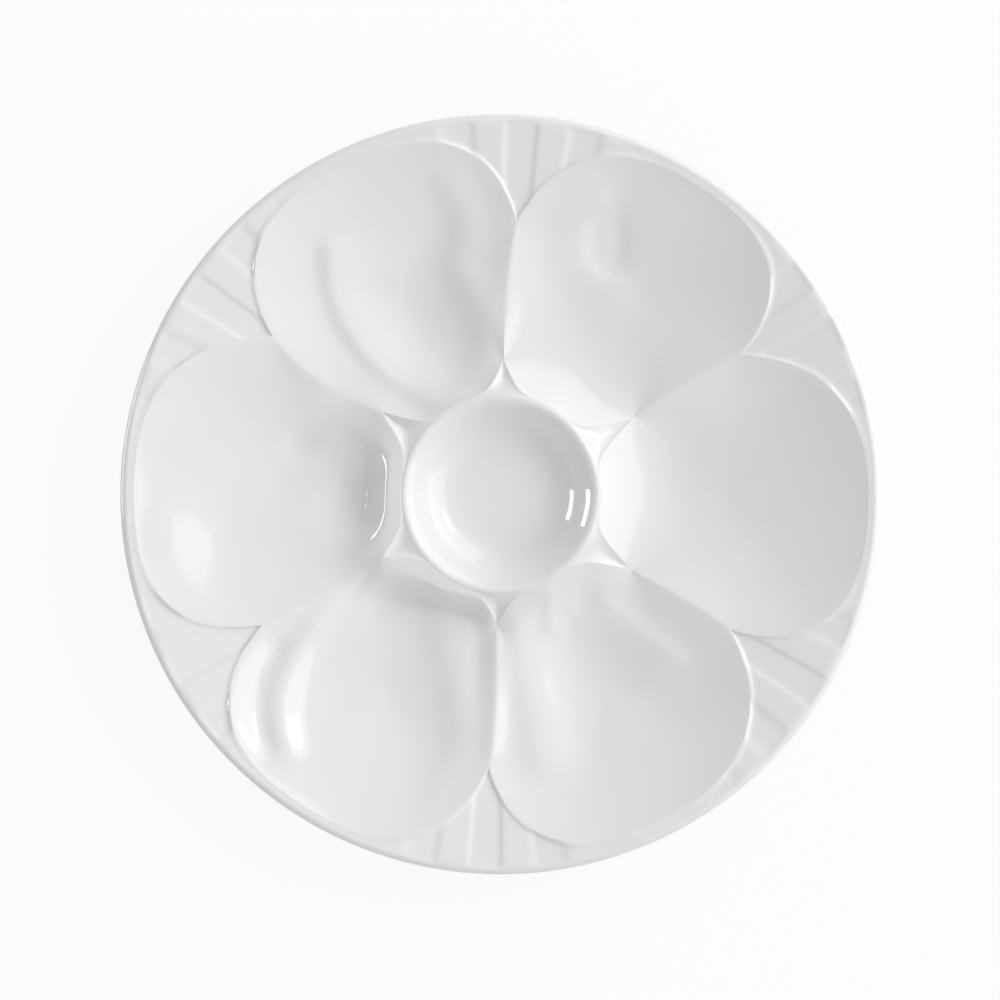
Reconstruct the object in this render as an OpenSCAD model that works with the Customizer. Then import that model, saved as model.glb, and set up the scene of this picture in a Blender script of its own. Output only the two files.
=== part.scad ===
// Oyster plate: a round glazed porcelain plate with six scallop-shaped wells round a raised sauce cup.
// Millimetres, +Z up. The origin is the middle of the circle that the foot ring stands on.

/* [Plate] */
// Diameter over the rim
plate_d = 254; // [236:1:272]
// Height of the rim's edge above the table
rim_height = 26; // [24:0.5:29]
// Thickness of the pressed body, measured straight down
wall = 4.4; // [3.8:0.1:5]
// Narrowest plain rim outside a well
rim_margin = 4.2; // [3:0.1:6]
// Height of the thin raised line along the wells' outer edges
lip_height = 0.8; // [0.4:0.1:1.4]

/* [Wells] */
// Height of a well's floor at its deepest place
floor_height = 8.6; // [8.4:0.1:10]
// Height of the ridges' low saddles beside the cup
saddle_height = 14.5; // [13:0.5:17]
// Height over its saddle that a ridge leaves the cup's collar with
corner_rise = 5; // [3:0.5:6]
// Height of the ridges where they meet the rim
pinch_height = 19; // [17.5:0.5:21]
// Height of the raised folds pressed in the wells
fold_height = 1.7; // [0.8:0.1:2.1]
// How far the three-cornered webs at the feet of the ridges reach out from the cup
web_reach = 13.5; // [11:0.5:16]

/* [Cup] */
// Inner diameter of the sauce cup at its mouth
cup_d = 63.6; // [58:0.2:70]
// Height of the cup's edge above the table
cup_height = 20; // [18:0.5:22]
// Depth of the cup
cup_depth = 11.5; // [9:0.5:12]
// Width of the cup's rounded edge
cup_edge = 1.2; // [1:0.1:2]

/* [Flutes] */
// Angle from one raised panel to the next on the fluted rim
flute_angle = 10.2; // [8:0.1:13]
// Height of the raised panels over the sunken ones
flute_height = 0.6; // [0.3:0.1:1.2]

/* [Foot] */
// Middle diameter of the foot ring
foot_d = 145; // [138:1:152]
// Width of the foot ring
foot_w = 5; // [4:0.5:7]
// Height of the foot ring
foot_h = 3.6; // [3:0.1:4]
// Rounding of the foot ring's two lower corners
foot_round = 1.2; // [0.6:0.1:1.6]

/* [Hidden] */
$fn = 96;

plate_r = plate_d / 2;
edge_round = wall / 2;
cup_r = cup_d / 2;
seat_r = cup_r + cup_edge;
bead = cup_edge / 2;
// The cup's crest leans outward to its seat at this angle
crest_slope = 17;
seat_z = cup_height - bead * tan(crest_slope) / 2;
// The body is level under the wells in a band that the foot ring sits in the middle of
land_half = 14;
land_blend = 14;
// The wells run out into the rim with no lip where less rim than this is left
lip_fade = 6;
// Flutes rise and die out over this much of the rim
flute_fade = 3;
// Beside the cup a well falls gently over the land's run and steeply over the wall's run; wells on
// the other side fall in one round sweep instead
land_run = 20;
wall_run = 9;
round_run = 27;

// Ridges between neighbouring wells, anticlockwise. Angles at the inner and at the outer end,
// and how far the middle bows, in degrees
ridge_angles = [[29.8, 30.3, 0.8], [88.6, 86.6, 0.6], [145.2, 145.3, 2], [208.2, 208.7, 1.5],
                [268.4, 267.6, 0.7], [330, 329.5, 0.6]];
// Reach of each ridge's web as a share of the web's reach, and the radius of each ridge's outer end
// as a share of the plate's
web_shares = [1.4, 0.9, 1.15, 0.87, 0.82, 1.3];
pinch_shares = [0.725, 0.72, 0.73, 0.715, 0.72, 0.7];
// Height of each ridge's saddle and the rise at its corner as shares of the named ones, and the share
// of the ridge that the rise sinks away over
saddle_shares = [0.86, 1.03, 0.74, 0.86, 0.95, 0.86];
rise_shares = [0, 0, 1.3, 1.3, 0.3, 0];
sink_share = 0.25;
// How sharply each well's edge beside the cup turns out to its two webs
web_powers = [5, 5, 5, 4, 5, 5];
// Angle where a raised panel starts in the fan of flutes outside each ridge
rib_angles = [28.2, 89.3, 148.9, 211, 270.1, 330.6];
// Outer outline of each well: how full the lobe is, how far it leans and how near the rim it comes
lobe_shares = [[3.2, 0.87, 1], [3.2, 0.89, 0.98], [3.6, 0.94, 0.95], [3.7, 1.16, 0.98],
               [3.4, 0.98, 1], [3, 0.87, 0.95]];
// Where the pinches lie on average, for the slope of the deck, as a share of the radius
pinch_share = 0.72;
// Middle of the wells' round of spokes, and where their floor starts to rise, as shares of the radius
hub_share = 0.6;
rise_share = 0.4;
// Powers of the curves that the floor rises by, and the land and each well's round sweep fall by
rise_power = 2.2;
land_power = 1.5;
sweep_powers = [1.9, 1.9, 3.4, 1.9, 2.6, 2.2];
// Powers that each well's sides climb by at its first ridge, at the rim and at its last ridge, and
// the share of the way from the hub that they start softly over
side_powers = [[1.6, 1.7, 1.25], [1.25, 1.7, 1.7], [1.3, 1.7, 1.3], [1.3, 1.7, 1.3],
               [1.3, 1.7, 1.5], [1.8, 1.7, 1.35]];
ease_share = 0.25;
// Share of the fall beside the cup that the land takes, how far each well is stepped like that, and
// where its wall starts at its first and at its last ridge, as shares of the wall's run
land_share = 0.16;
stepped_shares = [0, 0, 0, 1, 1, 0.1];
start_shares = [[0, 0], [0, 0], [0.38, 0.38], [0.38, 0.38], [0.44, -0.44], [0.38, 0.38]];
// How fast the corners of a well's outline are lost at first, and all the way to the hub
round_power = 5;
hub_power = 1;

// Folds pressed in each well: a row of points as shares of the plate's radius, the fold's widths to
// the left and to the right of that row as such shares, and its height as a share of the fold height
fold_shares = [
    [],
    [[[[0.27, 0.8], [0.23, 0.72], [0.235, 0.65], [0.29, 0.59]], 0.03, 0.06, 0.75]],
    [[[[-0.45, 0.72], [-0.465, 0.62], [-0.445, 0.5], [-0.38, 0.39], [-0.29, 0.31], [-0.2, 0.265],
       [-0.12, 0.27]], 0.09, 0.035, 1.1],
     [[[-0.25, 0.28], [-0.17, 0.265], [-0.1, 0.3], [-0.055, 0.38], [-0.06, 0.47], [-0.11, 0.55],
       [-0.135, 0.61], [-0.115, 0.69], [-0.13, 0.78], [-0.2, 0.84]], 0.045, 0.09, 0.85],
     [[[-0.42, 0.46], [-0.34, 0.36], [-0.27, 0.3], [-0.19, 0.265], [-0.1, 0.27]], 0.1, 0.12, 0.6]],
    [[[[-0.72, 0.38], [-0.62, 0.33], [-0.5, 0.265], [-0.4, 0.19], [-0.36, 0.15]], 0.15, 0.16, 0.6],
     [[[-0.855, 0.13], [-0.87, 0.02], [-0.865, -0.12], [-0.83, -0.26], [-0.76, -0.38]],
      0.055, 0.055, 0.35]],
    [[[[-0.39, -0.2], [-0.47, -0.31], [-0.54, -0.43], [-0.575, -0.53], [-0.575, -0.63], [-0.54, -0.74]],
      0.04, 0.035, 1.1],
     [[[-0.57, -0.36], [-0.625, -0.45], [-0.645, -0.53], [-0.64, -0.61], [-0.61, -0.7]],
      0.03, 0.03, -0.9],
     [[[-0.14, -0.24], [-0.15, -0.32], [-0.145, -0.41], [-0.12, -0.5], [-0.105, -0.59], [-0.115, -0.69],
       [-0.16, -0.78], [-0.23, -0.86]], 0.06, 0.045, 1.25]],
    [[[[0.03, -0.27], [0.07, -0.4], [0.088, -0.51], [0.09, -0.62], [0.085, -0.76]], 0.062, 0.045, 1.2],
     [[[0.122, -0.2], [0.13, -0.28], [0.135, -0.38]], 0.025, 0.025, 0.5],
     [[[0.23, -0.25], [0.3, -0.31], [0.38, -0.38], [0.5, -0.475]], 0.055, 0.06, 1.1]]];
// A fold rises and sinks away over this share of its row at each end
fold_end_share = 0.2;
// Dents and swellings in each well: the middle and the two half widths as shares of the plate's
// radius, and the height as a share of the fold height
dent_shares = [
    [[[0.4, 0.11], [0.09, 0.1], -0.6]],
    [[[0.32, 0.68], [0.04, 0.055], -0.6]],
    [],
    [[[-0.53, 0.13], [0.05, 0.045], -0.5]],
    [[[-0.05, -0.45], [0.04, 0.15], -0.8]],
    [[[0.225, -0.265], [0.045, 0.05], -0.5]]];
// The cup's wall from its level floor to its crest, as shares of the crest's radius and of the depth
bowl_shares = [[0.28, 0], [0.38, 0.006], [0.47, 0.03], [0.54, 0.077], [0.61, 0.16], [0.68, 0.28],
               [0.74, 0.41], [0.8, 0.57], [0.85, 0.7], [0.9, 0.835], [0.945, 0.935], [0.975, 0.985]];

// Steps of the surfaces' grids
outer_count = 26;
ridge_count = 7;
inner_count = 14;
// Rounds of averaging that soften a well's outline: at first, and toward the hub
round_count = 5;
hub_count = 40;
// Steps up the ridges that still count as beside the cup
beside_count = 2;
ring_shares = [0.16, 0.31, 0.45, 0.57, 0.66, 0.74, 0.81, 0.88, 0.94, 1];
under_shares = [1, 0.86, 0.7, 0.5, 0.25];
rim_shares = [0, 0.12, 0.3, 0.52, 0.78, 1];
collar_shares = [0, 0.35, 0.7, 1];
below_shares = [0.6, 0.3, 0];
edge_angles = [60, 30, 0, -30, -60, -90];
// The lip takes this share of the way to the rim's edge to sink into the deck
lip_share = 0.12;

function mix(a, b, t) = a + (b - a) * t;
function held(t) = min(max(t, 0), 1);
function ramp(t) = let (h = held(t)) h * h * (3 - 2 * h);
function polar(r, a) = [r * cos(a), r * sin(a)];
// A wave with flattened tops, and a closed row of values averaged with their neighbours many times
function squared(v) = v * (3 - v * v) / 2;
function softened(row, rounds) = rounds == 0 ? row : softened(
    [for (n = len(row), i = [0:n - 1]) (row[(i + n - 1) % n] + 2 * row[i] + row[(i + 1) % n]) / 4],
    rounds - 1);

// Angle where ridge i starts well k, kept below the angle where the well ends
function first_angle(k, end) = ridge_angles[(k + 5) % 6][end] - (k == 0 ? 360 : 0);
function last_angle(k, end) = ridge_angles[k][end];
function corner_r(i) = seat_r + web_reach * web_shares[i % 6];
function pinch_r(i) = plate_r * pinch_shares[i % 6];

// Radius of well k's outline at a share t of its width, on the rim side and on the cup side
function outline_r(k, t) =
    let (base = mix(pinch_r(k + 5), pinch_r(k), t), lobe = lobe_shares[k])
    base + (plate_r - rim_margin - base) * lobe[2] * (1 - pow(abs(2 * pow(t, lobe[1]) - 1), lobe[0]));
function inner_r(k, t) =
    mix(seat_r + bead, mix(corner_r(k + 5), corner_r(k), t), pow(abs(2 * t - 1), web_powers[k]));

// Heights of the upper surface: the dished deck, its flutes and lip, the ridges and the collar
function deck_z(r) =
    mix(pinch_height, rim_height, (r / plate_r - pinch_share) / (1 - pinch_share));
function lip_z(k, t) = lip_height * ramp((plate_r - rim_margin - outline_r(k, t)) / lip_fade + 0.15);
function flute_z(k, t, r) =
    let (a = mix(first_angle(k, 1), last_angle(k, 1), t),
         rib = t < 0.5 ? rib_angles[(k + 5) % 6] - (k == 0 ? 360 : 0) : rib_angles[k],
         inside = ramp((r - outline_r(k, t)) / flute_fade), outside = ramp((plate_r - r) / flute_fade),
         wide = ramp((plate_r - outline_r(k, t) - lip_fade) / flute_fade))
    flute_height / 2 * squared(sin(360 * (a - rib) / flute_angle)) * inside * outside * wide;
function saddle_z(i) = saddle_height * saddle_shares[i % 6];
function corner_z(i) = saddle_z(i) + corner_rise * rise_shares[i % 6];
function ridge_z(i, u) =
    mix(saddle_z(i), deck_z(pinch_r(i)) + lip_height, u)
    + (corner_z(i) - saddle_z(i)) * pow(held(1 - u / sink_share), 2);
function collar_z(k, t, r) =
    let (corner = mix(corner_r(k + 5), corner_r(k), t))
    mix(seat_z, mix(corner_z(k + 5), corner_z(k), t), held((r - seat_r) / (corner - seat_r)));
function floor_z(r) =
    let (low_r = rise_share * plate_r, high_r = plate_r - rim_margin)
    floor_height + (deck_z(high_r) - floor_height) * pow(held((r - low_r) / (high_r - low_r)), rise_power);

// How near q is to the stretch a-b: the distance, how far along, and whether q lies to its left
function beside(q, a, b) =
    let (way = b - a, off = q - a, h = held((off * way) / (way * way)))
    [norm(off - way * h), h, way[0] * off[1] > way[1] * off[0]];
// Height that one fold, or one dent, adds at q, and the height that all those of well k add at p
function one_fold(f, q) =
    let (row = f[0], last = len(row) - 1, all = [for (i = [1:last]) beside(q, row[i - 1], row[i])],
         near = min([for (b = all) b[0]]), i = [for (i = [0:last - 1]) if (all[i][0] == near) i][0],
         along = (i + all[i][1]) / last)
    f[3] * ramp(min(along, 1 - along) / fold_end_share) * exp(-pow(near / (all[i][2] ? f[1] : f[2]), 2));
function one_dent(f, q) =
    f[2] * exp(-pow((q[0] - f[0][0]) / f[1][0], 2) - pow((q[1] - f[0][1]) / f[1][1], 2));
function fold_z(k, p) =
    let (q = p / plate_r)
    fold_height * sum(concat([0], [for (f = fold_shares[k]) one_fold(f, q)],
                             [for (f = dent_shares[k]) one_dent(f, q)]));
function sum(v) = v * [for (i = v) 1];

// The underside follows the top at the wall's thickness, and is level over the foot ring
function under_z(r, z) =
    let (off = abs(r - foot_d / 2) - land_half)
    mix(z - wall, foot_h, 1 - ramp(off / land_blend));
function under(p) = [p[0], p[1], under_z(norm([p[0], p[1]]), p[2])];

// Points on the edges that the wells share with the rim, with each other and with the collar
function rim_point(k, j) =
    let (t = (1 - cos(180 * j / outer_count)) / 2, r = outline_r(k, t),
         p = polar(r, mix(first_angle(k, 1), last_angle(k, 1), t)))
    [p[0], p[1], deck_z(r) + lip_z(k, t)];
function ridge_point(i, j) =
    let (u = j / ridge_count, r = mix(corner_r(i), pinch_r(i), u), a = ridge_angles[i],
         p = polar(r, mix(a[0], a[1], u) + 4 * a[2] * u * (1 - u)))
    [p[0], p[1], ridge_z(i, u)];
function collar_point(k, j) =
    let (t = j / inner_count, r = inner_r(k, t), p = polar(r, mix(first_angle(k, 0), last_angle(k, 0), t)))
    [p[0], p[1], collar_z(k, t, r)];
function well_edge(k) = concat(
    [for (j = [0:outer_count - 1]) rim_point(k, j)],
    [for (j = [ridge_count:-1:1]) ridge_point(k, j)],
    [for (j = [inner_count:-1:1]) collar_point(k, j)],
    [for (j = [0:ridge_count - 1]) ridge_point((k + 5) % 6, j)]);

// Fall of well k beside the cup at a run from its edge: 1 at the edge and 0 on the floor
function fall(k, start, run) =
    mix(pow(held(1 - run / round_run), sweep_powers[k]),
        mix(ramp(1 + start - run / wall_run) / ramp(1 + start), pow(held(1 - run / land_run), land_power),
            land_share),
        stepped_shares[k]);

// One point of well k, on spoke i, at a share s of the way from its hub to its edge. The rows hold
// x, y, height over the floor, nearness to the cup and side power, sharp, softened and softened most
function well_point(k, hub, rows, start, i, s) =
    let (e = mix(rows[2][i], mix(rows[1][i], rows[0][i], pow(s, round_power)), pow(s, hub_power)),
         rim = [e[0], e[1]], p = mix(hub, rim, s),
         climb = pow(s * s * (1 + ease_share) / (s + ease_share), e[4]),
         drop = fall(k, start[i], (1 - s) * norm(rim - hub)))
    [p[0], p[1], floor_z(norm(p)) + e[2] * mix(climb, drop, e[3]) + fold_z(k, p) * (1 - pow(s, 4))];

// Closed meshes: rings joined in order, the first and last ring capped by a point or joined up
function ring_faces(n, a, b) = [for (i = [0:n - 1])
    let (m = (i + 1) % n) each [[a * n + i, b * n + i, b * n + m], [a * n + i, b * n + m, a * n + m]]];
module capped(rings, top, bottom) {
    n = len(rings[0]);
    last = len(rings) - 1;
    points = concat([for (ring = rings) each ring], [top, bottom]);
    caps = [for (i = [0:n - 1]) let (m = (i + 1) % n)
        each [[(last + 1) * n, i, m], [(last + 1) * n + 1, last * n + m, last * n + i]]];
    polyhedron(points, concat(caps, [for (i = [1:last]) each ring_faces(n, i - 1, i)]));
}
module looped(rings) {
    count = len(rings);
    polyhedron([for (ring = rings) each ring],
               [for (i = [0:count - 1]) each ring_faces(len(rings[0]), i, (i + 1) % count)]);
}

// Rim: from the wells' outlines to the rounded edge, with fans of flutes between the lobes
module fluted_rim() {
    columns = [for (k = [0:5]) for (j = [0:outer_count - 1]) [k, (1 - cos(180 * j / outer_count)) / 2, j]];
    top = [for (s = rim_shares) [for (c = columns)
        let (k = c[0], t = c[1], start = rim_point(k, c[2]), flat_r = plate_r - edge_round,
             r = mix(norm([start[0], start[1]]), flat_r, s),
             p = polar(r, mix(first_angle(k, 1), last_angle(k, 1), t)),
             lip = lip_z(k, t) * (1 - held(s / lip_share)))
        [p[0], p[1], deck_z(r) + lip + flute_z(k, t, r)]]];
    edge = [for (a = edge_angles) [for (c = columns)
        let (p = polar(plate_r - edge_round * (1 - cos(a)),
                       mix(first_angle(c[0], 1), last_angle(c[0], 1), c[1])))
        [p[0], p[1], deck_z(plate_r - edge_round) - edge_round * (1 - sin(a))]]];
    below = [for (s = below_shares) [for (c = columns)
        let (start = rim_point(c[0], c[2]), r = mix(norm([start[0], start[1]]), plate_r - edge_round, s),
             p = polar(r, mix(first_angle(c[0], 1), last_angle(c[0], 1), c[1])))
        under([p[0], p[1], s == 0 ? start[2] : deck_z(r)])]];
    color("white") looped(concat(top, edge, below));
}

// One well: a dish inside its outline, deepest beside the cup and rounder than the outline further in
module oyster_well(k) {
    edge = well_edge(k);
    last = len(edge) - 1;
    first = outer_count + ridge_count;
    hub = polar(hub_share * plate_r, (first_angle(k, 1) + last_angle(k, 1)) / 2);
    powers = side_powers[k];
    plain = [for (i = [0:last])
        let (beside = i >= first - beside_count && i < first + inner_count + beside_count)
        [edge[i][0], edge[i][1], edge[i][2] - floor_z(norm([edge[i][0], edge[i][1]])), beside ? 1 : 0,
         i < outer_count ? powers[1] : i < first + inner_count ? powers[2] : powers[0]]];
    soft = softened(plain, round_count);
    sharp = [for (i = [0:last]) [plain[i][0], plain[i][1], plain[i][2], soft[i][3], soft[i][4]]];
    rows = [sharp, soft, softened(plain, hub_count)];
    start = [for (i = [0:last])
        mix(start_shares[k][0], start_shares[k][1], pow(held(1 - (i - first) / inner_count), 2))];
    top = [for (s = ring_shares) [for (i = [0:last]) well_point(k, hub, rows, start, i, s)]];
    below = [for (s = under_shares) [for (i = [0:last]) under(well_point(k, hub, rows, start, i, s))]];
    middle = well_point(k, hub, rows, start, 0, 0);
    color("whitesmoke") capped(concat(top, below), middle, under(middle));
}

// Collar: falls from the cup's edge to the wells, with a three-cornered web at the foot of each ridge
module cup_collar() {
    columns = [for (k = [0:5]) for (j = [0:inner_count - 1]) [k, j]];
    seat = seat_r / cos(180 / len(columns));
    top = [for (s = collar_shares) [for (c = columns)
        let (e = collar_point(c[0], c[1]), er = norm([e[0], e[1]]), r = mix(seat, er, s),
             z = collar_z(c[0], c[1] / inner_count, r))
        [e[0] * r / er, e[1] * r / er, z]]];
    below = [for (i = [len(top) - 1:-1:0]) [for (p = top[i]) under(p)]];
    color("white") looped(concat(top, below));
}

// Sauce cup: a turned bowl with a level floor, an upright wall that rolls over, and a thin crest
module sauce_cup() {
    crest_r = cup_r + bead;
    bowl = concat([[0, cup_height - cup_depth]],
                  [for (b = bowl_shares) [b[0] * crest_r, cup_height - cup_depth * (1 - b[1])]]);
    below = [for (i = [len(bowl) - 1:-1:0]) [bowl[i][0], bowl[i][1] - wall]];
    rim = [[crest_r, cup_height], [seat_r, seat_z], [seat_r, cup_height - wall]];
    color("white") rotate_extrude() polygon(concat(bowl, rim, below));
}

// Foot ring: the plate stands on it, and its ground face is left without glaze
module foot_ring() {
    color("linen") rotate_extrude() translate([foot_d / 2, 0]) {
        translate([-foot_w / 2, foot_round]) square([foot_w, foot_h - foot_round]);
        translate([foot_round - foot_w / 2, 0]) square([foot_w - 2 * foot_round, foot_h]);
        for (side = [-1, 1])
            translate([side * (foot_w / 2 - foot_round), foot_round]) circle(r = foot_round);
    }
}

fluted_rim();
oyster_well(0);  // oyster_well_1
oyster_well(1);  // oyster_well_2
oyster_well(2);  // oyster_well_3
oyster_well(3);  // oyster_well_4
oyster_well(4);  // oyster_well_5
oyster_well(5);  // oyster_well_6
cup_collar();
sauce_cup();
foot_ring();
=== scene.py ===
import math
import bmesh
import bpy
import numpy as np
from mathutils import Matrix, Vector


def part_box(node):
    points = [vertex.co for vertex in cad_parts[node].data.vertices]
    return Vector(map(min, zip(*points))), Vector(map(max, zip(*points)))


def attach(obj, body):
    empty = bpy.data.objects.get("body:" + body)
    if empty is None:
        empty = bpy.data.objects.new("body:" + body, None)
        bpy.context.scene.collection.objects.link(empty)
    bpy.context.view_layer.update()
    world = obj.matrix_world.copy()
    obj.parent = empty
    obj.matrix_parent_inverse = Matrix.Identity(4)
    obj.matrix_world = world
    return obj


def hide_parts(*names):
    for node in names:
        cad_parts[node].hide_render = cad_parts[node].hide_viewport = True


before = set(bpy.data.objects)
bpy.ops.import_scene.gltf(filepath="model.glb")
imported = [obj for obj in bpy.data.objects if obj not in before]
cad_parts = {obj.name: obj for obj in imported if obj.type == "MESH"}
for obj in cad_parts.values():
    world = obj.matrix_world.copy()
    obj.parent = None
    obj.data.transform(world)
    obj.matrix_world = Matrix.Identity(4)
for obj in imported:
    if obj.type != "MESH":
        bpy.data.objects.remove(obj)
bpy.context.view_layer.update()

# Foot ring
# The plate stands on a narrow ring of bare white porcelain, turned on the underside of the body.
# Its sides carry the glaze, and the face that touches the table is ground flat and left matt.
MM = 0.001
foot_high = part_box("foot_ring")[1]
foot_outer = foot_high[0] / MM
foot_height = foot_high[2] / MM
foot_width = 5.0
foot_inner = foot_outer - foot_width
foot_mid = foot_outer - foot_width / 2
foot_round = 1.2
foot_steps = 240
bend_steps = 8
ground_share = 0.3
weld_distance = 1e-5
flat_distance = 1e-3


class Socket:
    """A shader value that Python's operators turn into Math nodes."""

    def __init__(self, shader, link):
        self.shader, self.link = shader, link

    def maths(self, operation, first, second=0.0):
        return self.shader.node("ShaderNodeMath", {"operation": operation}, {0: first, 1: second})

    def __add__(self, other):
        return self.maths("ADD", self, other)

    def __radd__(self, other):
        return self.maths("ADD", other, self)

    def __sub__(self, other):
        return self.maths("SUBTRACT", self, other)

    def __rsub__(self, other):
        return self.maths("SUBTRACT", other, self)

    def __mul__(self, other):
        return self.maths("MULTIPLY", self, other)

    def __rmul__(self, other):
        return self.maths("MULTIPLY", other, self)

    def held(self, low, high):
        """Nought up to low, one from high on, and a smooth ramp between."""
        return self.shader.node("ShaderNodeMapRange", {"interpolation_type": "SMOOTHSTEP"},
                                {"Value": self, "From Min": low, "From Max": high})


class Shader:
    """One material's node tree, with a single method that adds any node."""

    def __init__(self, name):
        self.material = bpy.data.materials.new(name)
        self.material.use_nodes = True
        self.nodes = self.material.node_tree.nodes
        self.links = self.material.node_tree.links
        self.nodes.clear()

    def node(self, kind, settings=None, sockets=None, output=0):
        made = self.nodes.new(kind)
        for setting, value in (settings or {}).items():
            setattr(made, setting, value)
        for socket, value in (sockets or {}).items():
            if isinstance(value, Socket):
                self.links.new(value.link, made.inputs[socket])
            else:
                made.inputs[socket].default_value = value
        return Socket(self, made.outputs[output])

    def mixed(self, factor, first, second):
        """A colour between two others. The mix node's colour sockets can only be told by number."""
        made = self.nodes.new("ShaderNodeMix")
        made.data_type = "RGBA"
        for socket, value in ((0, factor), (6, first), (7, second)):
            if isinstance(value, Socket):
                self.links.new(value.link, made.inputs[socket])
            else:
                made.inputs[socket].default_value = value if socket == 0 else (*value, 1)
        return Socket(self, made.outputs[2])

    def noise(self, place, scale, detail=2.0):
        return self.node("ShaderNodeTexNoise", {}, {"Vector": place, "Scale": scale,
                                                    "Detail": detail})

    def finish(self, surface):
        output = self.nodes.new("ShaderNodeOutputMaterial")
        self.links.new(surface.link, output.inputs["Surface"])
        return self.material


# The glaze lies in slow clouds, with finer ripples and a few pinholes: how many of each to a metre
cloud_scale = 22.0
ripple_scale = 90.0
pinhole_scale = 260.0
pinhole_size = 0.05
glaze_white = (0.87, 0.87, 0.865)
glaze_pool = (0.80, 0.815, 0.815)
pool_band = (0.42, 0.72)
pool_strength = 0.35
glaze_relief = 0.0006
relief_strength = 0.12
cloud_height = 0.6
ripple_height = 0.25
glaze_roughness = 0.06
pool_roughness = 0.04
pit_roughness = 0.2
glaze_ior = 1.5


def make_glaze():
    """Clear glossy glaze over white porcelain, a little greyer where it lies thick."""
    shade = Shader("white_glaze")
    place = shade.node("ShaderNodeTexCoord", output="Object")
    cloud = shade.noise(place, cloud_scale, 3.0)
    ripple = shade.noise(place, ripple_scale, 1.0)
    pinholes = shade.node("ShaderNodeTexVoronoi", {}, {"Vector": place, "Scale": pinhole_scale})
    pooled = cloud.held(*pool_band)
    colour = shade.mixed(pooled * pool_strength, glaze_white, glaze_pool)
    height = cloud * cloud_height + ripple * ripple_height
    bump = shade.node("ShaderNodeBump", {}, {"Strength": relief_strength, "Distance": glaze_relief,
                                             "Height": height})
    pit = 1 - pinholes.held(0.0, pinhole_size)
    roughness = glaze_roughness + pooled * pool_roughness + pit * pit_roughness
    return shade.finish(shade.node("ShaderNodeBsdfPrincipled", {}, {
        "Base Color": colour, "Roughness": roughness, "IOR": glaze_ior, "Normal": bump}))


# The ground face: fine grain and wider stains, how many to a metre
grain_scale = 900.0
stain_scale = 60.0
bare_porcelain = (0.83, 0.80, 0.745)
bare_shadow = (0.70, 0.66, 0.60)
stain_band = (0.35, 0.75)
bare_relief = 0.0002
grain_strength = 0.5
bare_roughness = 0.72
grain_roughness = 0.2


def make_bare():
    """Ground porcelain without glaze: warm and matt, with fine grain and slight stains."""
    shade = Shader("ground_foot")
    place = shade.node("ShaderNodeTexCoord", output="Object")
    grain = shade.noise(place, grain_scale, 4.0)
    stain = shade.noise(place, stain_scale, 3.0)
    colour = shade.mixed(stain.held(*stain_band), bare_porcelain, bare_shadow)
    bump = shade.node("ShaderNodeBump", {}, {"Strength": grain_strength, "Distance": bare_relief,
                                             "Height": grain})
    roughness = bare_roughness + grain * grain_roughness
    return shade.finish(shade.node("ShaderNodeBsdfPrincipled", {}, {
        "Base Color": colour, "Roughness": roughness, "Normal": bump}))


glaze = make_glaze()
bare = make_bare()


def turned(profile, steps, closed=False):
    """Wrap a grid round Z, its rows at (radius, height) points, and merge the seam and the poles."""
    rows = profile + profile[:1] if closed else profile
    bm = bmesh.new()
    bmesh.ops.create_grid(bm, x_segments=steps, y_segments=len(rows) - 1, size=0.5)
    for vert in bm.verts:
        turn = math.tau * (vert.co.x + 0.5)
        r, z = rows[round((vert.co.y + 0.5) * (len(rows) - 1))]
        vert.co = (r * math.cos(turn), r * math.sin(turn), z)
    bmesh.ops.remove_doubles(bm, verts=bm.verts, dist=weld_distance)
    bmesh.ops.recalc_face_normals(bm, faces=bm.faces)
    for face in bm.faces:
        face.smooth = True
    return bm


def seamed(bm, radius):
    """Leave the upright faces at this radius flat: they're hidden where two pieces meet."""
    for face in bm.faces:
        away = [abs(math.hypot(vert.co.x, vert.co.y) - radius) for vert in face.verts]
        if max(away) < flat_distance:
            face.smooth = False
    return bm


def finished(bm, name, *materials, moved=None):
    """Make a bmesh in millimetres an object in metres, with its vertices moved where asked."""
    mesh = bpy.data.meshes.new(name)
    bm.to_mesh(mesh)
    bm.free()
    places = np.empty(3 * len(mesh.vertices))
    mesh.vertices.foreach_get("co", places)
    if moved is not None:
        places = moved(places.reshape(-1, 3)).ravel()
    mesh.vertices.foreach_set("co", places * MM)
    mesh.update()
    for material in materials:
        mesh.materials.append(material)
    piece = bpy.data.objects.new(name, mesh)
    bpy.context.scene.collection.objects.link(piece)
    return piece


def arc(mid_r, mid_z, radius, start, end, steps):
    """Points of (radius, height) on an arc, angles in degrees."""
    return [(mid_r + radius * math.cos(math.radians(start + (end - start) * i / steps)),
             mid_z + radius * math.sin(math.radians(start + (end - start) * i / steps)))
            for i in range(steps + 1)]


foot_profile = (
    [(foot_inner, foot_height)]
    + arc(foot_inner + foot_round, foot_round, foot_round, 180, 270, bend_steps)
    + arc(foot_outer - foot_round, foot_round, foot_round, 270, 360, bend_steps)
    + [(foot_outer, foot_height)])
foot_bm = turned(foot_profile, foot_steps, closed=True)
for face in foot_bm.faces:
    face.material_index = 1 if face.calc_center_median().z < foot_round * ground_share else 0
foot = finished(foot_bm, "turned_foot", glaze, bare)
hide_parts("foot_ring")
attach(foot, "root")

# Sauce cup
# The round cup in the middle is part of the same pressed body, turned true, with a rounded edge.
# A clear glossy glaze covers it, and it holds mignonette, lemon or sauce.
cup_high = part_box("sauce_cup")[1]
seat_r = cup_high[0] / MM
cup_top = cup_high[2] / MM
cup_edge = 1.2
cup_depth = 11.5
cup_floor_r = 8.0
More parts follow.
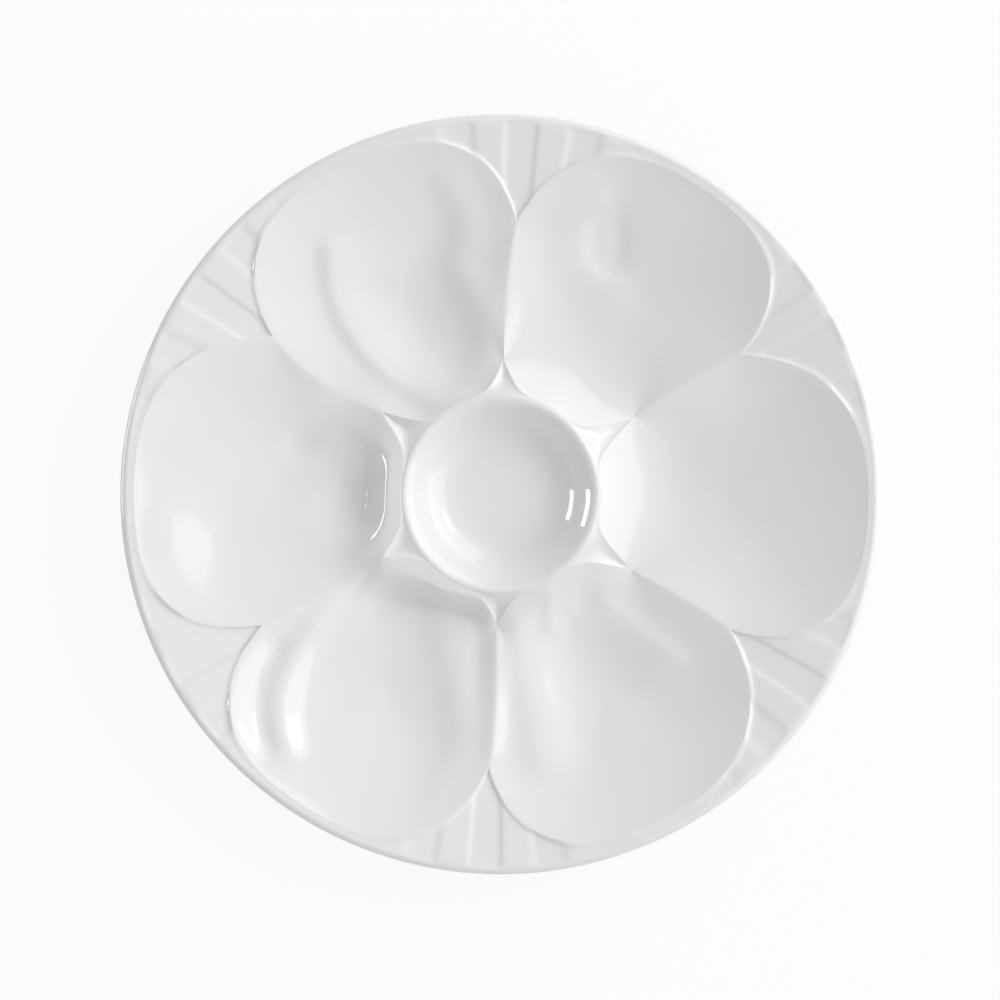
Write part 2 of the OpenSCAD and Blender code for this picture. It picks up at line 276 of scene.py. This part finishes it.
# The wall steepens by the first power up from the floor and eases off by the second to the edge
foot_power = 3.0
lip_power = 0.8
floor_steps = 20
bowl_steps = 90
wall = 4.4
bead = cup_edge / 2
cup_r = seat_r - cup_edge
crest_slope = 17.0
sector_steps = 60

# Ridges between the wells, anticlockwise: the angle in degrees at the inner and the outer end,
# and how far the middle bows. The radii at both ends are shares of the plate's radius.
ridge_angles = [(29.8, 30.3, 0.8), (88.6, 86.6, 0.6), (145.2, 145.3, 2.0), (208.2, 208.7, 1.5),
                (268.4, 267.6, 0.7), (330.0, 329.5, 0.6)]


def sector_angle(k, t, end):
    """The angle at a share t of the way across well k, at its inner (0) or outer (1) end."""
    first = ridge_angles[k - 1][end] - (360 if k == 0 else 0)
    return np.radians(first + (ridge_angles[k][end] - first) * t)


inner_shares = np.arange(sector_steps) / sector_steps
inner_columns = np.concatenate([sector_angle(k, inner_shares, 0) for k in range(6)])


def column_of(places, count):
    """Which of the spin's steps each vertex lies on."""
    turn = np.arctan2(places[:, 1], places[:, 0]) / math.tau * count
    return np.round(turn).astype(int) % count


def mix(a, b, t):
    return a + (b - a) * t


def ramp(t):
    """A smooth rise from nought to one, level at both ends."""
    h = np.clip(t, 0, 1)
    return h * h * (3 - 2 * h)


def bowl_profile():
    """Points up the cup's wall: a round foot, steepest near the top, then over to the crest."""
    u = np.linspace(0, 1, bowl_steps + 1)
    slope = u ** foot_power * (1 - u) ** lip_power
    rise = np.concatenate([[0], np.cumsum((slope[1:] + slope[:-1]) / 2)])
    heights = cup_top - cup_depth + cup_depth * rise / rise[-1]
    return list(zip(cup_floor_r + (cup_r + bead - cup_floor_r) * u, heights))


seat_z = cup_top - bead * math.tan(math.radians(crest_slope)) / 2
cup_floor = [(cup_floor_r * i / floor_steps, cup_top - cup_depth) for i in range(floor_steps)]
bowl = cup_floor + bowl_profile()
cup_rim = [(seat_r - bead / 2, mix(cup_top, seat_z, 0.25)), (seat_r, seat_z)]
# Every fourth point is enough underneath
cup_profile = (
    bowl + cup_rim + [(seat_r, cup_top - wall)]
    + [(r, z - wall) for r, z in bowl[::-4]] + [(0, cup_top - cup_depth - wall)])


def cup_places(places):
    """Turn the spin's columns to those of the collar, so that both meet point to point."""
    radii = np.hypot(places[:, 0], places[:, 1])
    angles = inner_columns[column_of(places, len(inner_columns))]
    return np.stack([radii * np.cos(angles), radii * np.sin(angles), places[:, 2]], axis=1)


cup_bm = seamed(turned(cup_profile, len(inner_columns)), seat_r)
cup = finished(cup_bm, "sauce_bowl", glaze, moved=cup_places)
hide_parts("sauce_cup")
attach(cup, "root")

# Cup collar
# The steep outside of the cup spreads into a small three-cornered web at the foot of each ridge.
# It was pressed with the body, so the glaze runs over its thin crests without a break.
rim_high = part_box("fluted_rim")[1]
plate_r = rim_high[0] / MM
# Each ridge: where it ends at the rim, and how far out its web reaches beside the cup
pinch_shares = [0.725, 0.72, 0.73, 0.715, 0.72, 0.7]
web_reach = 13.5
web_shares = [1.4, 0.9, 1.15, 0.87, 0.82, 1.3]
web_powers = [5.0, 5.0, 5.0, 4.5, 5.0, 5.0]
# Each ridge's lowest height, its rise from there to the web and the share of its length for that
saddle_height = 14.5
saddle_shares = [0.86, 1.03, 0.74, 0.86, 0.95, 0.86]
corner_rise = 5.0
corner_rise_shares = [0.0, 0.0, 1.2, 1.4, 0.0, 0.0]
corner_fall = 0.42
# How deep the glaze lets each web sink between its crests
web_hollow = 1.6
hollow_shares = [0.5, 0.9, 1.1, 1.1, 1.0, 0.5]
collar_steps = 14
# The underside is level over the foot, this far to both sides, and then blends into the wells
land_half = 14.0
land_blend = 14.0


def corner_r(i):
    return seat_r + web_reach * web_shares[i % 6]


def pinch_r(i):
    return plate_r * pinch_shares[i % 6]


def inner_r(k, t):
    """Radius of well k's edge beside the cup, at a share t of the way across."""
    corner = mix(corner_r(k + 5), corner_r(k), t)
    return mix(seat_r + bead, corner, np.abs(2 * t - 1) ** web_powers[k])


def saddle_z(i):
    return saddle_height * saddle_shares[i % 6]


def corner_z(i):
    """Height of ridge i where it leaves the collar, above the low saddle that follows."""
    return saddle_z(i) + corner_rise * corner_rise_shares[i % 6]


def collar_z(k, t, r):
    """Height of the collar beside well k, from the cup's seat down to its two ridges' corners."""
    corner = mix(corner_r(k + 5), corner_r(k), t)
    fall = np.clip((r - seat_r) / (corner - seat_r), 0, 1)
    width = inner_r(k, t) - seat_r
    hollow_share = np.where(t < 0.5, hollow_shares[k - 1], hollow_shares[k])
    hollow = hollow_share * web_hollow * width / web_reach
    return (mix(seat_z, mix(corner_z(k + 5), corner_z(k), t), fall)
            - hollow * np.sin(math.pi * np.clip((r - seat_r) / width, 0, 1)))


def under_z(r, z):
    """Height of the underside: the wall's thickness below the top, and level over the foot."""
    level = 1 - ramp((np.abs(r - foot_mid) - land_half) / land_blend)
    return mix(z - wall, foot_height, level)


def layered(rows, under_rows, steps, band):
    """Turn a flat profile: the upper rows at height 1, the lower ones at 0. Band keeps a hole."""
    profile = [(s, 1) for s in rows] + [(s, 0) for s in reversed(under_rows)]
    return seamed(seamed(turned(profile, steps, closed=band), rows[0]), rows[-1])


collar_rows = [1 + i / collar_steps for i in range(collar_steps + 1)]
collar_edge = np.concatenate([inner_r(k, inner_shares) for k in range(6)])
collar_well = np.repeat(np.arange(6), sector_steps)


def collar_places(places):
    column = column_of(places, len(inner_columns))
    r = mix(seat_r, collar_edge[column], np.hypot(places[:, 0], places[:, 1]) - 1)
    top = np.choose(collar_well[column],
                    [collar_z(k, inner_shares[column % sector_steps], r) for k in range(6)])
    height = np.where(places[:, 2] > 0.5, top, under_z(r, top))
    angles = inner_columns[column]
    return np.stack([r * np.cos(angles), r * np.sin(angles), height], axis=1)


collar_bm = layered(collar_rows, collar_rows[::2], len(inner_columns), band=True)
collar = finished(collar_bm, "cup_surround", glaze, moved=collar_places)
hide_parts("cup_collar")
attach(collar, "root")

# Oyster wells
# Six scallop-shaped hollows are pressed side by side round the cup, each with its own soft folds.
# They are deepest beside the cup, rise gently to the rim and share thin rounded ridges.
# Heights of the deck at the rim and where the ridges end, and the plain band outside the lobes
rim_height = 26.0
pinch_height = 19.0
pinch_share = 0.72
rim_margin = 4.2
# A slight lip runs along each well's edge and fades where the lobe comes close to the rim
lip_height = 0.85
lip_fade = 6.0
lip_least = 0.15
lip_step = 1.5
# The floors are level out to rise_share of the plate's radius. A well's spokes meet at its hub
floor_height = 8.6
rise_share = 0.4
rise_power = 2.2
hub_share = 0.6
hub_ease = 0.25
# The walls beside the cup are either rounded all the way down or stepped: a steep wall with a foot
stepped_walls = [0.0, 0.0, 0.0, 1.0, 1.0, 0.1]
round_run = 27.0
round_wall_powers = [1.9, 1.9, 3.4, 1.9, 2.6, 2.2]
wall_run = 8.4
# Where a stepped wall starts, from the edge beside the cup: at the well's first and at its last ridge
wall_starts = [(0.0, 0.0), (0.0, 0.0), (3.5, 3.5), (4.2, 4.2), (5.0, -2.0), (3.5, 3.5)]
land_share = 0.16
land_run = 20.0
land_power = 1.5
# Powers that each well's sides climb by: at its first ridge, at the rim and at its last ridge
side_powers = [(1.6, 1.5, 1.25), (1.25, 1.5, 1.7), (1.2, 1.5, 1.3), (2.4, 1.5, 1.6),
               (1.5, 1.45, 1.2), (1.8, 1.4, 1.2)]
crest_round = 0.9
# The folds fade towards the well's edge and at both ends; a point takes after the nearest of a path
fold_height = 1.7
fold_fade_power = 8
fold_end_fade = 7
fold_nearness = 6
outer_steps, ridge_steps, inner_steps = 120, 44, sector_steps
# Each well's outline at the rim: its fullness, how far it leans to one side, and its reach outward
lobe_shares = [(3.2, 0.87, 1.0), (3.2, 0.89, 0.98), (3.6, 0.94, 0.95), (3.7, 1.16, 0.98),
               (3.4, 0.98, 1.0), (3.0, 0.87, 0.95)]
# Pressed folds of each well: a row of points as shares of the plate's radius, the fold's width to the
# left and to the right of that line as such shares, and its height as a share of fold_height.
# Dents: middle, two radii, height.
fold_shares = [
    [],
    [(((0.31, 0.8), (0.24, 0.765), (0.205, 0.69), (0.215, 0.61), (0.28, 0.555), (0.36, 0.55)),
      0.036, 0.08, 0.85)],
    [(((-0.43, 0.71), (-0.445, 0.62), (-0.425, 0.5), (-0.36, 0.39), (-0.275, 0.31), (-0.19, 0.262),
       (-0.12, 0.262)), 0.09, 0.035, 1.1),
     (((-0.25, 0.205), (-0.185, 0.222), (-0.085, 0.27), (-0.035, 0.37), (-0.04, 0.47), (-0.08, 0.55),
       (-0.105, 0.61), (-0.09, 0.68), (-0.1, 0.76), (-0.145, 0.83), (-0.21, 0.85)),
      0.05, 0.055, 0.78),
     (((-0.42, 0.46), (-0.34, 0.36), (-0.27, 0.3), (-0.19, 0.265), (-0.1, 0.27)), 0.1, 0.12, 0.6)],
    [(((-0.72, 0.38), (-0.62, 0.33), (-0.5, 0.265), (-0.4, 0.19), (-0.36, 0.15)), 0.15, 0.16, 0.6),
     (((-0.9, -0.02), (-0.885, -0.14), (-0.84, -0.26), (-0.76, -0.38)), 0.07, 0.05, 0.35)],
    [(((-0.39, -0.2), (-0.47, -0.31), (-0.54, -0.43), (-0.575, -0.53), (-0.575, -0.63),
       (-0.54, -0.74)), 0.04, 0.035, 1.1),
     (((-0.57, -0.36), (-0.625, -0.45), (-0.645, -0.53), (-0.64, -0.61), (-0.61, -0.7)),
      0.03, 0.03, -0.9),
     (((-0.14, -0.24), (-0.15, -0.32), (-0.145, -0.41), (-0.12, -0.5), (-0.105, -0.59),
       (-0.115, -0.69), (-0.16, -0.78), (-0.23, -0.86)), 0.06, 0.045, 0.45)],
    [(((0.015, -0.25), (0.045, -0.37), (0.075, -0.47), (0.1, -0.57), (0.112, -0.67), (0.115, -0.78)),
      0.08, 0.062, 1.3),
     (((0.122, -0.2), (0.13, -0.28), (0.135, -0.38)), 0.025, 0.025, 0.5),
     (((0.23, -0.25), (0.3, -0.31), (0.38, -0.38), (0.5, -0.475)), 0.042, 0.1, 0.8)]]
dent_shares = [
    [((0.455, 0.13), (0.1, 0.11), -0.5)],
    [((0.312, 0.68), (0.03, 0.08), -0.45)],
    [],
    [((-0.53, 0.13), (0.05, 0.045), -0.5), ((-0.735, -0.1), (0.085, 0.085), -0.65),
     ((-0.42, -0.01), (0.06, 0.13), -1.2)],
    [((-0.05, -0.45), (0.04, 0.15), -0.8), ((-0.33, -0.275), (0.06, 0.06), -0.7)],
    [((0.225, -0.265), (0.045, 0.05), -0.5), ((0.02, -0.57), (0.03, 0.1), -0.4)]]


def deck_z(r):
    """Height of the rim's deck, which rises evenly from the ends of the ridges outward."""
    return mix(pinch_height, rim_height, (r / plate_r - pinch_share) / (1 - pinch_share))


def floor_z(r):
    """The floors' own dish: level near the cup, then rising ever faster to the height of the deck."""
    start, end = rise_share * plate_r, plate_r - rim_margin
    u = np.clip((r - start) / (end - start), 0, None)
    return floor_height + (deck_z(end) - floor_height) * u ** rise_power


def outline_r(k, t):
    """Radius of well k's edge at the rim, at a share t of the way across."""
    fullness, lean, extent = lobe_shares[k]
    base = mix(pinch_r(k + 5), pinch_r(k), t)
    return base + (plate_r - rim_margin - base) * extent * (1 - np.abs(2 * t ** lean - 1) ** fullness)


def lip_z(k, t):
    """Height of the lip along well k's edge at the rim, least where the lobe reaches furthest."""
    return lip_height * ramp((plate_r - rim_margin - outline_r(k, t)) / lip_fade + lip_least)


def at(r, angle, z, bare_z):
    """Edge points as rows of x, y, height, and height without the raised lip."""
    return np.stack([r * np.cos(angle), r * np.sin(angle), z, bare_z], axis=1)


rim_shares = (1 - np.cos(np.pi * np.arange(outer_steps) / outer_steps)) / 2


def rim_edge(k):
    """Points along well k's edge at the rim, from its first ridge to just before its last."""
    r = outline_r(k, rim_shares)
    return at(r, sector_angle(k, rim_shares, 1), deck_z(r) + lip_z(k, rim_shares), deck_z(r))


def ridge_edge(i):
    """Points along ridge i from its corner by the cup to its pinch at the rim, both included."""
    u = np.arange(ridge_steps + 1) / ridge_steps
    r = mix(corner_r(i), pinch_r(i), u)
    inner, outer, bow = ridge_angles[i % 6]
    z = (mix(saddle_z(i), deck_z(pinch_r(i)) + lip_height, u)
         + (corner_z(i) - saddle_z(i)) * np.clip(1 - u / corner_fall, 0, 1) ** 2)
    return at(r, np.radians(mix(inner, outer, u) + 4 * bow * u * (1 - u)), z, z - lip_height * u)


def cup_side_edge(k):
    """Points along well k's edge beside the cup, from its first ridge to just before its last."""
    r = inner_r(k, inner_shares)
    z = collar_z(k, inner_shares, r)
    return at(r, sector_angle(k, inner_shares, 0), z, z)


def smooth_path(points, steps=12):
    """A Catmull-Rom curve through a few points."""
    points = np.array(points)
    ends = np.concatenate([[2 * points[0] - points[1]], points, [2 * points[-1] - points[-2]]])
    t = np.linspace(0, 1, steps, endpoint=False)[:, None]
    spans = [0.5 * (2 * b + (c - a) * t + (2 * a - 5 * b + 4 * c - d) * t ** 2
                    + (3 * b - a - 3 * c + d) * t ** 3)
             for a, b, c, d in zip(ends, ends[1:], ends[2:], ends[3:])]
    return np.concatenate(spans + [points[-1:]])


def fold_z(k, x, y):
    """Height that the pressed folds of well k add."""
    total = np.zeros(len(x))
    for points, left, right, height in fold_shares[k]:
        path = smooth_path(points) * plate_r
        way = np.gradient(path, axis=0)
        away_x, away_y = x[:, None] - path[:, 0], y[:, None] - path[:, 1]
        side = (way[:, 0] * away_y - way[:, 1] * away_x) / (
            np.hypot(away_x, away_y) * np.hypot(way[:, 0], way[:, 1]) + 1e-9)
        width = mix(right, left, ramp((side + 1) / 2)) * plate_r
        near = np.exp(-(away_x ** 2 + away_y ** 2) / width ** 2)
        along = np.linspace(0, 1, len(path))
        ends = ramp(np.minimum(along, 1 - along) * fold_end_fade)
        weight = near ** fold_nearness
        fade = (weight * ends).sum(axis=1) / (weight.sum(axis=1) + 1e-30)
        total += height * fade * near.max(axis=1)
    for (mid_x, mid_y), (reach_x, reach_y), height in dent_shares[k]:
        total += height * np.exp(-((x / plate_r - mid_x) / reach_x) ** 2
                                 - ((y / plate_r - mid_y) / reach_y) ** 2)
    return fold_height * total


# Rows of faces from a well's hub to its edge, closer together near the edge
well_steps = 60
well_crowding = 1.35
well_under_steps = 18
well_rows = [1 - (1 - i / well_steps) ** well_crowding for i in range(well_steps + 1)]
well_under_rows = [i / well_under_steps for i in range(well_under_steps + 1)]
# How far along the edge a spoke's values are evened out: the widest reach, at the hub, and the power
# that it shrinks by on the way to the edge
hub_round_reach = 26.0
round_power = 0.8
round_steps = 15
round_step = 0.75
# The reach grows by up to this share halfway across a well at the rim
rim_widening = 2.2
widening = np.ones(outer_steps + inner_steps + 2 * ridge_steps)
widening[:outer_steps] += rim_widening * (4 * rim_shares * (1 - rim_shares)) ** 2
# How far the extent of the wall beside the cup is evened out
wall_round_reaches = [8.0, 8.0, 6.0, 5.0, 5.0, 8.0]
# Heights are evened out by this power's mean: below 1 it keeps nearer to the lower of two
mean_powers = [0.3, 0.3, 1.0, 1.0, 1.0, 0.3]
mean_base = 3.0
# Steps up the first and the last ridge that each well's wall beside the cup still reaches; it stops
# short of the ridge where they're negative
cup_steps = [(4, 4), (4, 11), (4, 4), (-8, -3), (6, -3), (4, 4)]


def rounded_edge(edge, reach, mean_power):
    """A closed row of values, each evened out over some millimetres of the edge to both sides."""
    gaps = np.hypot(*(np.roll(edge[:, :2], -1, axis=0) - edge[:, :2]).T)
    along = np.cumsum(gaps) - gaps
    apart = np.abs(along[:, None] - along)
    apart = np.minimum(apart, gaps.sum() - apart)
    weight = np.exp(-(apart / (reach * widening[:, None])) ** 2 / 2) * (gaps + np.roll(gaps, 1))
    weight /= weight.sum(axis=1, keepdims=True)
    rounded = weight @ edge
    heights = (weight @ (edge[:, 2:4] + mean_base) ** mean_power) ** (1 / mean_power)
    rounded[:, 2:4] = heights - mean_base
    return rounded


def eased(share):
    """The share of the way from hub to edge, level at the hub so that no crease starts there."""
    return share ** 2 * (1 + hub_ease) / (share + hub_ease)


def well_places(k, edge):
    """The mover of well k's vertices: spokes run from its hub to the edge, rounder further in."""
    hub_angle = (sector_angle(k, 0, 1) + sector_angle(k, 1, 1)) / 2
    hub = hub_share * plate_r * np.array([math.cos(hub_angle), math.sin(hub_angle)])
    edge_r = np.hypot(edge[:, 0], edge[:, 1])
    step = np.arange(len(edge)) - (len(edge) - ridge_steps - inner_steps)
    first_steps, last_steps = cup_steps[k]
    beside_cup = np.where((step >= -last_steps) & (step < inner_steps + first_steps), 1.0, 0.0)
    lift = edge[:, 2:] - floor_z(edge_r)[:, None]
    side_power = np.repeat(side_powers[k][1:] + side_powers[k][-1:] + side_powers[k][:1],
                           [outer_steps, ridge_steps, inner_steps, ridge_steps])
    # Columns: x, y, how high the edge stands over the floor with and without its lip, whether the
    # wall beside the cup rises there, and the power that the side climbs by
    sharp = np.column_stack([edge[:, :2], lift, beside_cup, side_power])
    sharp[:, 4:] = rounded_edge(sharp, wall_round_reaches[k], 1.0)[:, 4:]
    rounds = np.stack([rounded_edge(sharp, hub_round_reach * round_step ** i, mean_powers[k])
                       for i in range(round_steps)] + [sharp])
    first_start, last_start = wall_starts[k]
    wall_start = np.full(len(edge), last_start)
    wall_start[:outer_steps] = mix(first_start, last_start, rim_shares)
    wall_start[-ridge_steps - inner_steps:-ridge_steps] = mix(
        first_start, last_start, inner_shares[::-1] ** 2)
    wall_start[-ridge_steps:] = first_start

    def places_of(places):
        share = np.minimum(np.hypot(places[:, 0], places[:, 1]), 1)
        column = column_of(places, len(edge))
        level = np.log(np.maximum(1 - share, 1e-9)) * round_power / math.log(round_step)
        level = np.clip(level, 0, round_steps - 1e-6)
        nearer = np.floor(level).astype(int)
        spoke = mix(rounds[nearer, column], rounds[nearer + 1, column], (level - nearer)[:, None])
        by_cup, power = spoke[:, 4], spoke[:, 5]
        flat = mix(hub, spoke[:, :2], share[:, None])
        r = np.hypot(flat[:, 0], flat[:, 1])
        length = np.hypot(spoke[:, 0] - hub[0], spoke[:, 1] - hub[1])
        inside = (np.sqrt(((1 - share) * length) ** 2 + crest_round ** 2) - crest_round) / length
        run = (1 - share) * length
        start = wall_start[column]
        steep = ramp(1 - (run - start) / wall_run) / ramp(1 + start / wall_run)
        stepped = mix(steep, np.clip(1 - run / land_run, 0, 1) ** land_power, land_share)
        rounded = np.clip(1 - run / np.minimum(round_run, length), 0, 1) ** round_wall_powers[k]
        rolled = mix(rounded, stepped, stepped_walls[k])
        climb = mix(eased(np.clip(1 - inside, 0, 1)) ** power, rolled, by_cup)
        folds = fold_z(k, flat[:, 0], flat[:, 1]) * (1 - share ** fold_fade_power)
        upper = floor_z(r) + spoke[:, 2] * climb + folds
        lower = under_z(r, floor_z(r) + spoke[:, 3] * mix(eased(share) ** power, rolled, by_cup))
        return np.column_stack([flat, np.where(places[:, 2] > 0.5, upper, lower)])

    return places_of


wells = []
for k in range(6):
    edge = np.concatenate([rim_edge(k), ridge_edge(k)[:0:-1],
                           np.concatenate([cup_side_edge(k), ridge_edge(k)[:1]])[:0:-1],
                           ridge_edge(k - 1)[:-1]])
    well_bm = layered(well_rows, well_under_rows, len(edge), band=False)
    well = finished(well_bm, "shell_well_%d" % (k + 1), glaze, moved=well_places(k, edge))
    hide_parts("oyster_well_%d" % (k + 1))
    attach(well, "root")
    wells.append(well)

# Fluted rim
# The rim slopes gently inward and ends in a full rounded edge. Between the lobes of the wells
# it carries fans of shallow flutes, pressed with the body and softened by the glaze.
flute_pitch = 10.2
flute_height = 0.6
flute_edge = 5.0
# The flutes rise close to a well's edge and die out before the rim and where the deck is narrow
flute_rise = 1.5
flute_fall = 2.5
flute_margin = 0.6
narrow_deck = 5.0
# The angle of the middle rib between two lobes, anticlockwise
rib_angles = [28.2, 89.3, 148.9, 211.0, 270.1, 330.6]
edge_round = wall / 2
edge_steps = 12
deck_steps = 44
deck_crowding = 1.3
under_rim_steps = 16
rim_rows = [1 + (i / deck_steps) ** deck_crowding for i in range(deck_steps + 1)]
under_rim_rows = [2 - i / under_rim_steps for i in range(under_rim_steps + 1)]
rim_profile = ([(s, 1) for s in rim_rows] + [(2 + i, 1) for i in range(1, edge_steps)]
               + [(s, 0) for s in under_rim_rows])
rim_start = np.concatenate([rim_edge(k) for k in range(6)])
rim_columns = np.concatenate([sector_angle(k, rim_shares, 1) for k in range(6)])
rib_of_column = np.concatenate([np.where(rim_shares < 0.5, rib_angles[k - 1] - (360 if k == 0 else 0),
                                         rib_angles[k]) for k in range(6)])


def rim_places(places):
    """Rows 1 to 2 run over the deck, whole numbers from 3 on round the edge, then back underneath."""
    column = column_of(places, len(rim_columns))
    row = np.hypot(places[:, 0], places[:, 1])
    on_top = places[:, 2] > 0.5
    start, angles = rim_start[column], rim_columns[column]
    start_r = np.hypot(start[:, 0], start[:, 1])
    flat_r = plate_r - edge_round
    r = mix(start_r, flat_r, np.clip(row - 1, 0, 1))
    away = r - start_r
    wave = np.tanh(flute_edge * np.sin(math.tau * (np.degrees(angles) - rib_of_column[column])
                                       / flute_pitch))
    lip = (start[:, 2] - start[:, 3]) * np.exp(-(away / lip_step) ** 2)
    flutes = (flute_height / 2 * wave * ramp(away / flute_rise)
              * ramp((plate_r - r) / flute_fall - flute_margin))
    upper = deck_z(r) + lip + flutes * ramp((plate_r - start_r) / narrow_deck - 1)
    turn = np.radians(90 - 180 / edge_steps * np.clip(np.round(row) - 2, 0, edge_steps))
    round_off = (row > 2.5) & on_top
    r = np.where(round_off, plate_r - edge_round * (1 - np.cos(turn)), r)
    rounded = deck_z(flat_r) - edge_round * (1 - np.sin(turn))
    height = np.where(round_off, rounded, np.where(on_top, upper, under_z(r, deck_z(r))))
    return np.stack([r * np.cos(angles), r * np.sin(angles), height], axis=1)


rim_bm = seamed(turned(rim_profile, len(rim_columns), closed=True), 1)
rim = finished(rim_bm, "plate_rim", glaze, moved=rim_places)
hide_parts("fluted_rim")
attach(rim, "root")

# Glaze over the seams
# The plate is one body under one coat of glaze, so its pieces share their shading where they meet.
# Points closer together than this, in millimetres, count as one.
seam_gap = 0.002


def share_normals(pieces):
    """Give vertices that meet one common normal, so that the glaze runs over the seams unbroken."""
    spots, normals, meshes = [], [], []
    for piece in pieces:
        mesh = piece.data
        loops, faces = len(mesh.loops), len(mesh.polygons)
        places, corners = np.empty(3 * len(mesh.vertices)), np.empty(loops, np.int32)
        face_normals, areas, counts = np.empty(3 * faces), np.empty(faces), np.empty(faces, np.int32)
        smooth = np.empty(faces, bool)
        mesh.vertices.foreach_get("co", places)
        mesh.loops.foreach_get("vertex_index", corners)
        mesh.polygons.foreach_get("normal", face_normals)
        mesh.polygons.foreach_get("area", areas)
        mesh.polygons.foreach_get("loop_total", counts)
        mesh.polygons.foreach_get("use_smooth", smooth)
        face_of = np.repeat(np.arange(faces), counts)
        spots.append(np.round(places.reshape(-1, 3)[corners] / (seam_gap * MM)).astype(np.int64))
        normals.append(face_normals.reshape(-1, 3)[face_of])
        meshes.append((mesh, smooth[face_of], areas[face_of]))
    # Each place becomes one whole number, so that equal places are quick to find
    everywhere = np.concatenate(spots) @ np.array([1, 2 ** 20, 2 ** 40])
    flat = np.concatenate(normals)
    smooth = np.concatenate([entry[1] for entry in meshes])
    weight = np.concatenate([entry[2] for entry in meshes]) * smooth
    which = np.unique(everywhere, return_inverse=True)[1]
    total = np.stack([np.bincount(which, flat[:, i] * weight) for i in range(3)], axis=1)
    total /= np.maximum(np.linalg.norm(total, axis=1), 1e-20)[:, None]
    shared = np.where(smooth[:, None], total[which], flat)
    for (mesh, *_), part in zip(meshes, np.split(shared, np.cumsum([len(s) for s in spots])[:-1])):
        mesh.normals_split_custom_set(part)


share_normals([cup, collar, *wells, rim])

# Stage
# A plain white table and soft studio light, with the camera straight above as in the photograph.
camera_height = 1.25
sensor_width = 36
view_width = 1 / 3
dots_across = 1000
middle_dots_x, middle_dots_y = -0.5, -5.8
table_half = 3
table_grey = 0.9
table_glow = 0.9
sky_strength = 0.537
bm = bmesh.new()
bmesh.ops.create_grid(bm, x_segments=1, y_segments=1, size=table_half)
table_mesh = bpy.data.meshes.new("table")
bm.to_mesh(table_mesh)
bm.free()
table = bpy.data.objects.new("table", table_mesh)
bpy.context.scene.collection.objects.link(table)
paper = Shader("white_table")
lit = paper.node("ShaderNodeBsdfDiffuse", {}, {"Color": (table_grey, table_grey, table_grey, 1)})
glow = paper.node("ShaderNodeEmission", {}, {"Color": (1, 1, 1, 1), "Strength": 1.0})
# The table looks white itself, in reflections and through glass, but lights the plate as paper does
seen = sum(paper.node("ShaderNodeLightPath", output=ray)
           for ray in ("Is Camera Ray", "Is Glossy Ray", "Is Transmission Ray"))
table.data.materials.append(paper.finish(
    paper.node("ShaderNodeMixShader", {}, {0: seen * table_glow, 1: lit, 2: glow})))

camera = bpy.data.objects.new("camera", bpy.data.cameras.new("camera"))
camera.data.sensor_width = sensor_width
camera.data.lens = sensor_width * (camera_height - rim_high[2]) / view_width
dot = view_width / dots_across
camera.location = (middle_dots_x * dot, middle_dots_y * dot, camera_height)
bpy.context.scene.collection.objects.link(camera)
bpy.context.scene.camera = camera


def softbox(name, azimuth, elevation, distance, width, height, power):
    """An area light that faces the plate from a direction given in degrees."""
    light = bpy.data.lights.new(name, "AREA")
    light.shape = "RECTANGLE"
    light.size, light.size_y, light.energy = width, height, power
    lamp = bpy.data.objects.new(name, light)
    a, e = math.radians(azimuth), math.radians(elevation)
    lamp.location = (distance * math.cos(e) * math.cos(a), distance * math.cos(e) * math.sin(a),
                     distance * math.sin(e))
    lamp.rotation_euler = (math.pi / 2 - e, 0, a + math.pi / 2)
    bpy.context.scene.collection.objects.link(lamp)
    return lamp


# Degrees round and up, then distance, width and height in metres, and power in watts. The low strip
# at the left shows only in the glaze, as the bright line on the walls that face it.
softbox("key", 26, 30, 3.0, 5.8, 2.4, 67.5)
softbox("key_lamp", 28, 38, 2.9, 0.8, 0.5, 7)
softbox("front_fill", 285, 40, 3.0, 4.0, 3.0, 9)
softbox("left_strip", 171, 7.5, 1.3, 0.56, 0.28, 6.6).visible_diffuse = False
world = bpy.data.worlds.new("studio")
bpy.context.scene.world = world
world.use_nodes = True
sky = world.node_tree.nodes["Background"]
sky.inputs["Color"].default_value = (1, 1, 1, 1)
sky.inputs["Strength"].default_value = sky_strength
bpy.context.scene.view_settings.view_transform = "Standard"
